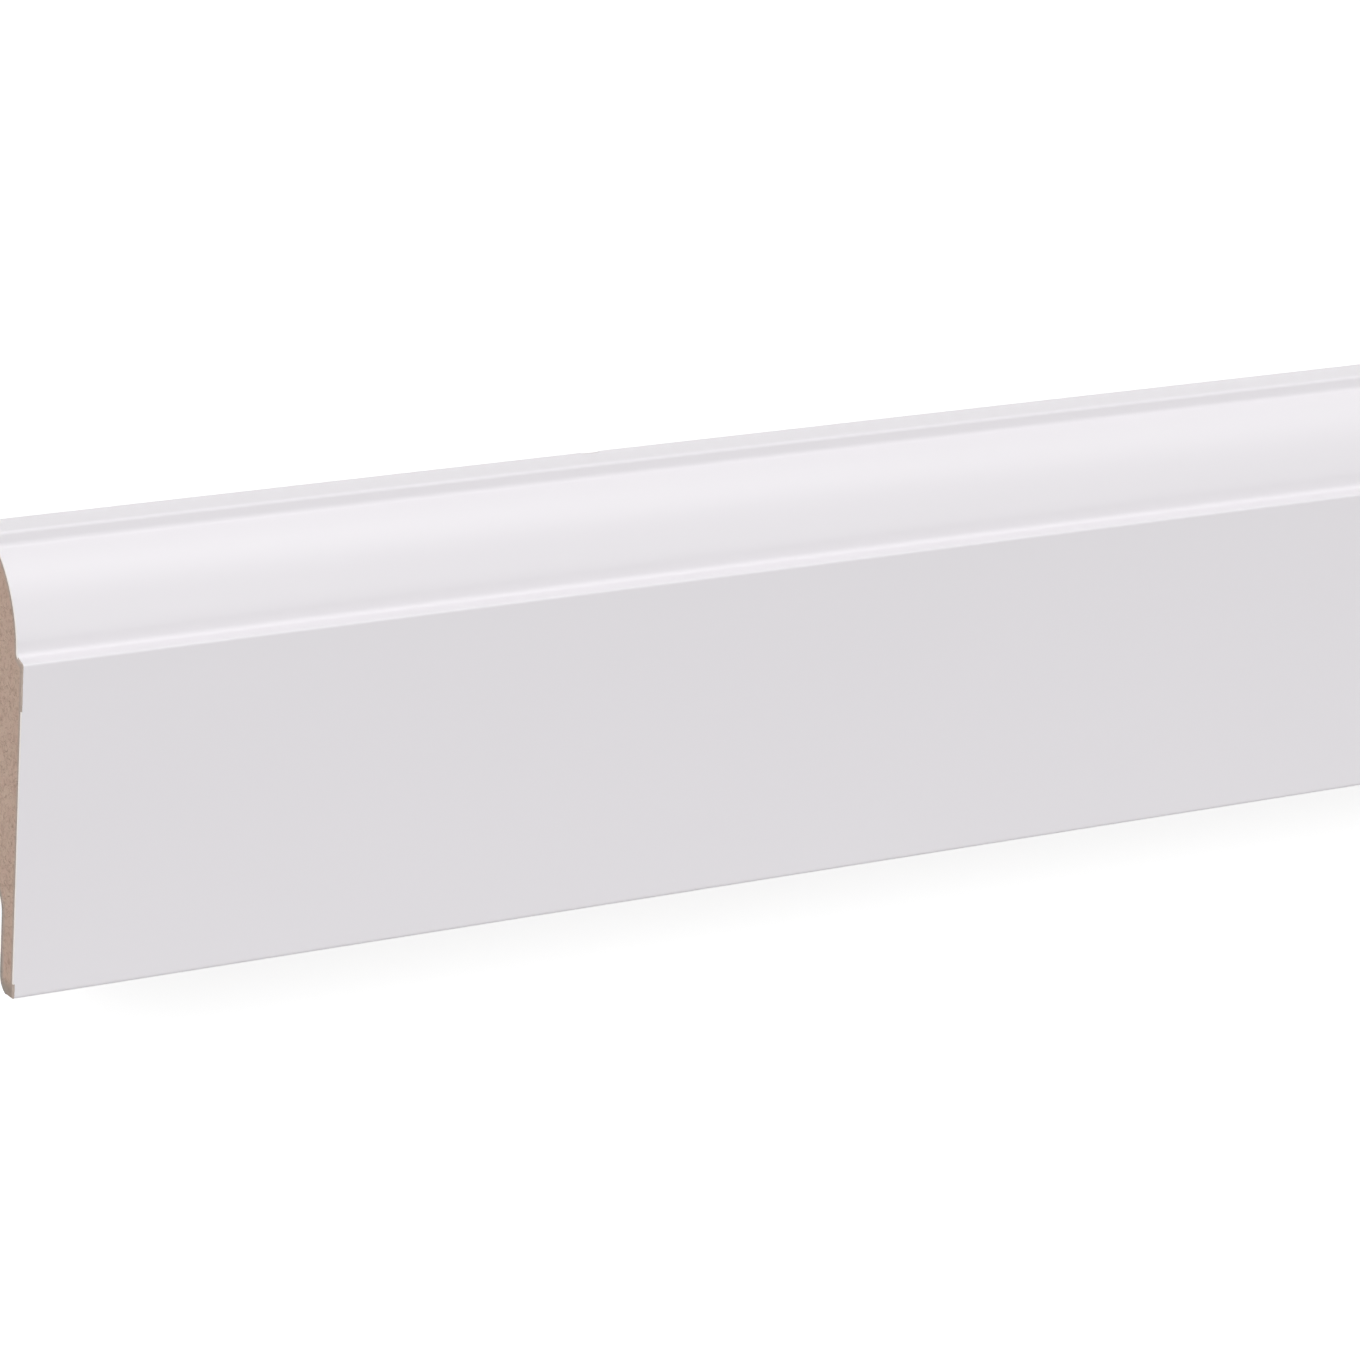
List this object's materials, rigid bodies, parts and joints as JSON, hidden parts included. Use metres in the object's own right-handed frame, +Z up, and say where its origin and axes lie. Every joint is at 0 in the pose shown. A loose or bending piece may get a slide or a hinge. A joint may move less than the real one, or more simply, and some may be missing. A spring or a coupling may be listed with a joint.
{
  "type": "skirting board length",
  "caption": "Moulded MDF skirting board length with a white finish: fillet, ovolo and quirk ledge over a flat face, and a cable rebate along the lower back edge.",
  "frame": {"origin": "on the back plane, at mid length and mid height, with the board lying on its back", "axes": "+X along the board's length, +Y across it towards the moulded top edge, +Z up, out of the moulded face"},
  "size_m": [2.4, 0.08, 0.018],
  "materials": {
    "finished_mdf": "satin"
  },
  "bodies": {
    "root": {"skirting_board": "finished_mdf"}
  },
  "joints": []
}
